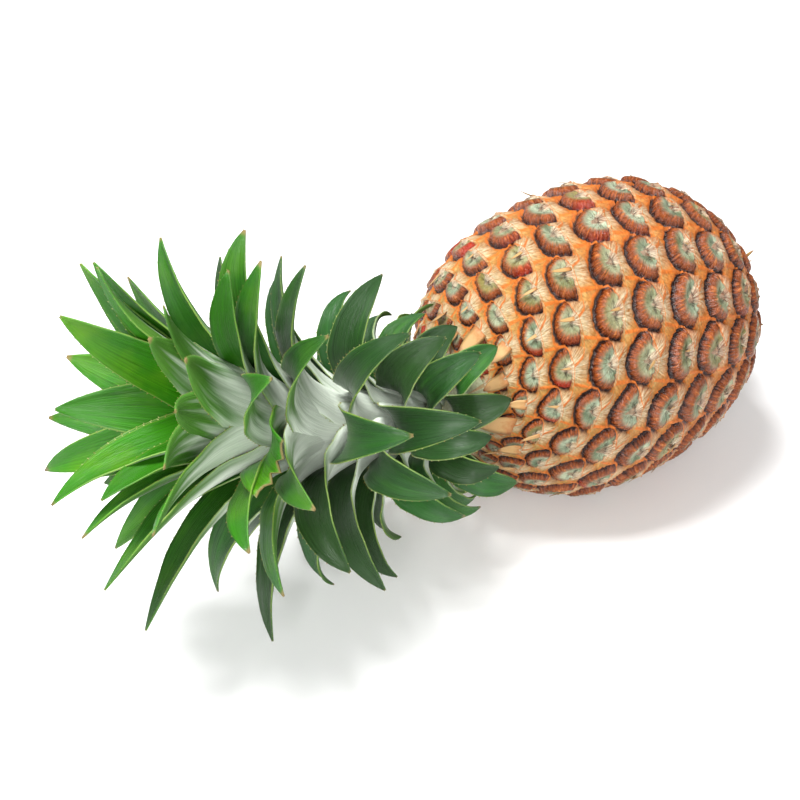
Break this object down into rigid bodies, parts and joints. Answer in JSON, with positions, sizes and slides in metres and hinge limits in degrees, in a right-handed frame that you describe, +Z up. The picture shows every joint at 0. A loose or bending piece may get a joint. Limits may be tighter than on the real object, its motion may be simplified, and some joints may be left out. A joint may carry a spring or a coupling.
{
  "type": "pineapple",
  "caption": "Whole ripe pineapple lying on its side: barrel fruit with spiral relief eyes, leafy crown of recurved channelled leaves, and a cut stalk stub at the base.",
  "frame": {"origin": "middle of the underside of the whole part's bounding box, on the surface it lies on", "axes": "+Z up; X along the fruit's level axis, with the crown toward -X and the stalk toward +X"},
  "size_m": [0.3228, 0.1332, 0.1602],
  "materials": {
    "skin": "waxy orange-brown fruit skin, semi-gloss, in place of wood",
    "leaf": "stiff green leaf, satin, in place of leather",
    "stalk": "pale dry fibrous cut stalk, matt"
  },
  "bodies": {
    "root": {"fruit": "skin", "crown": "leaf", "stalk": "stalk"}
  },
  "joints": []
}
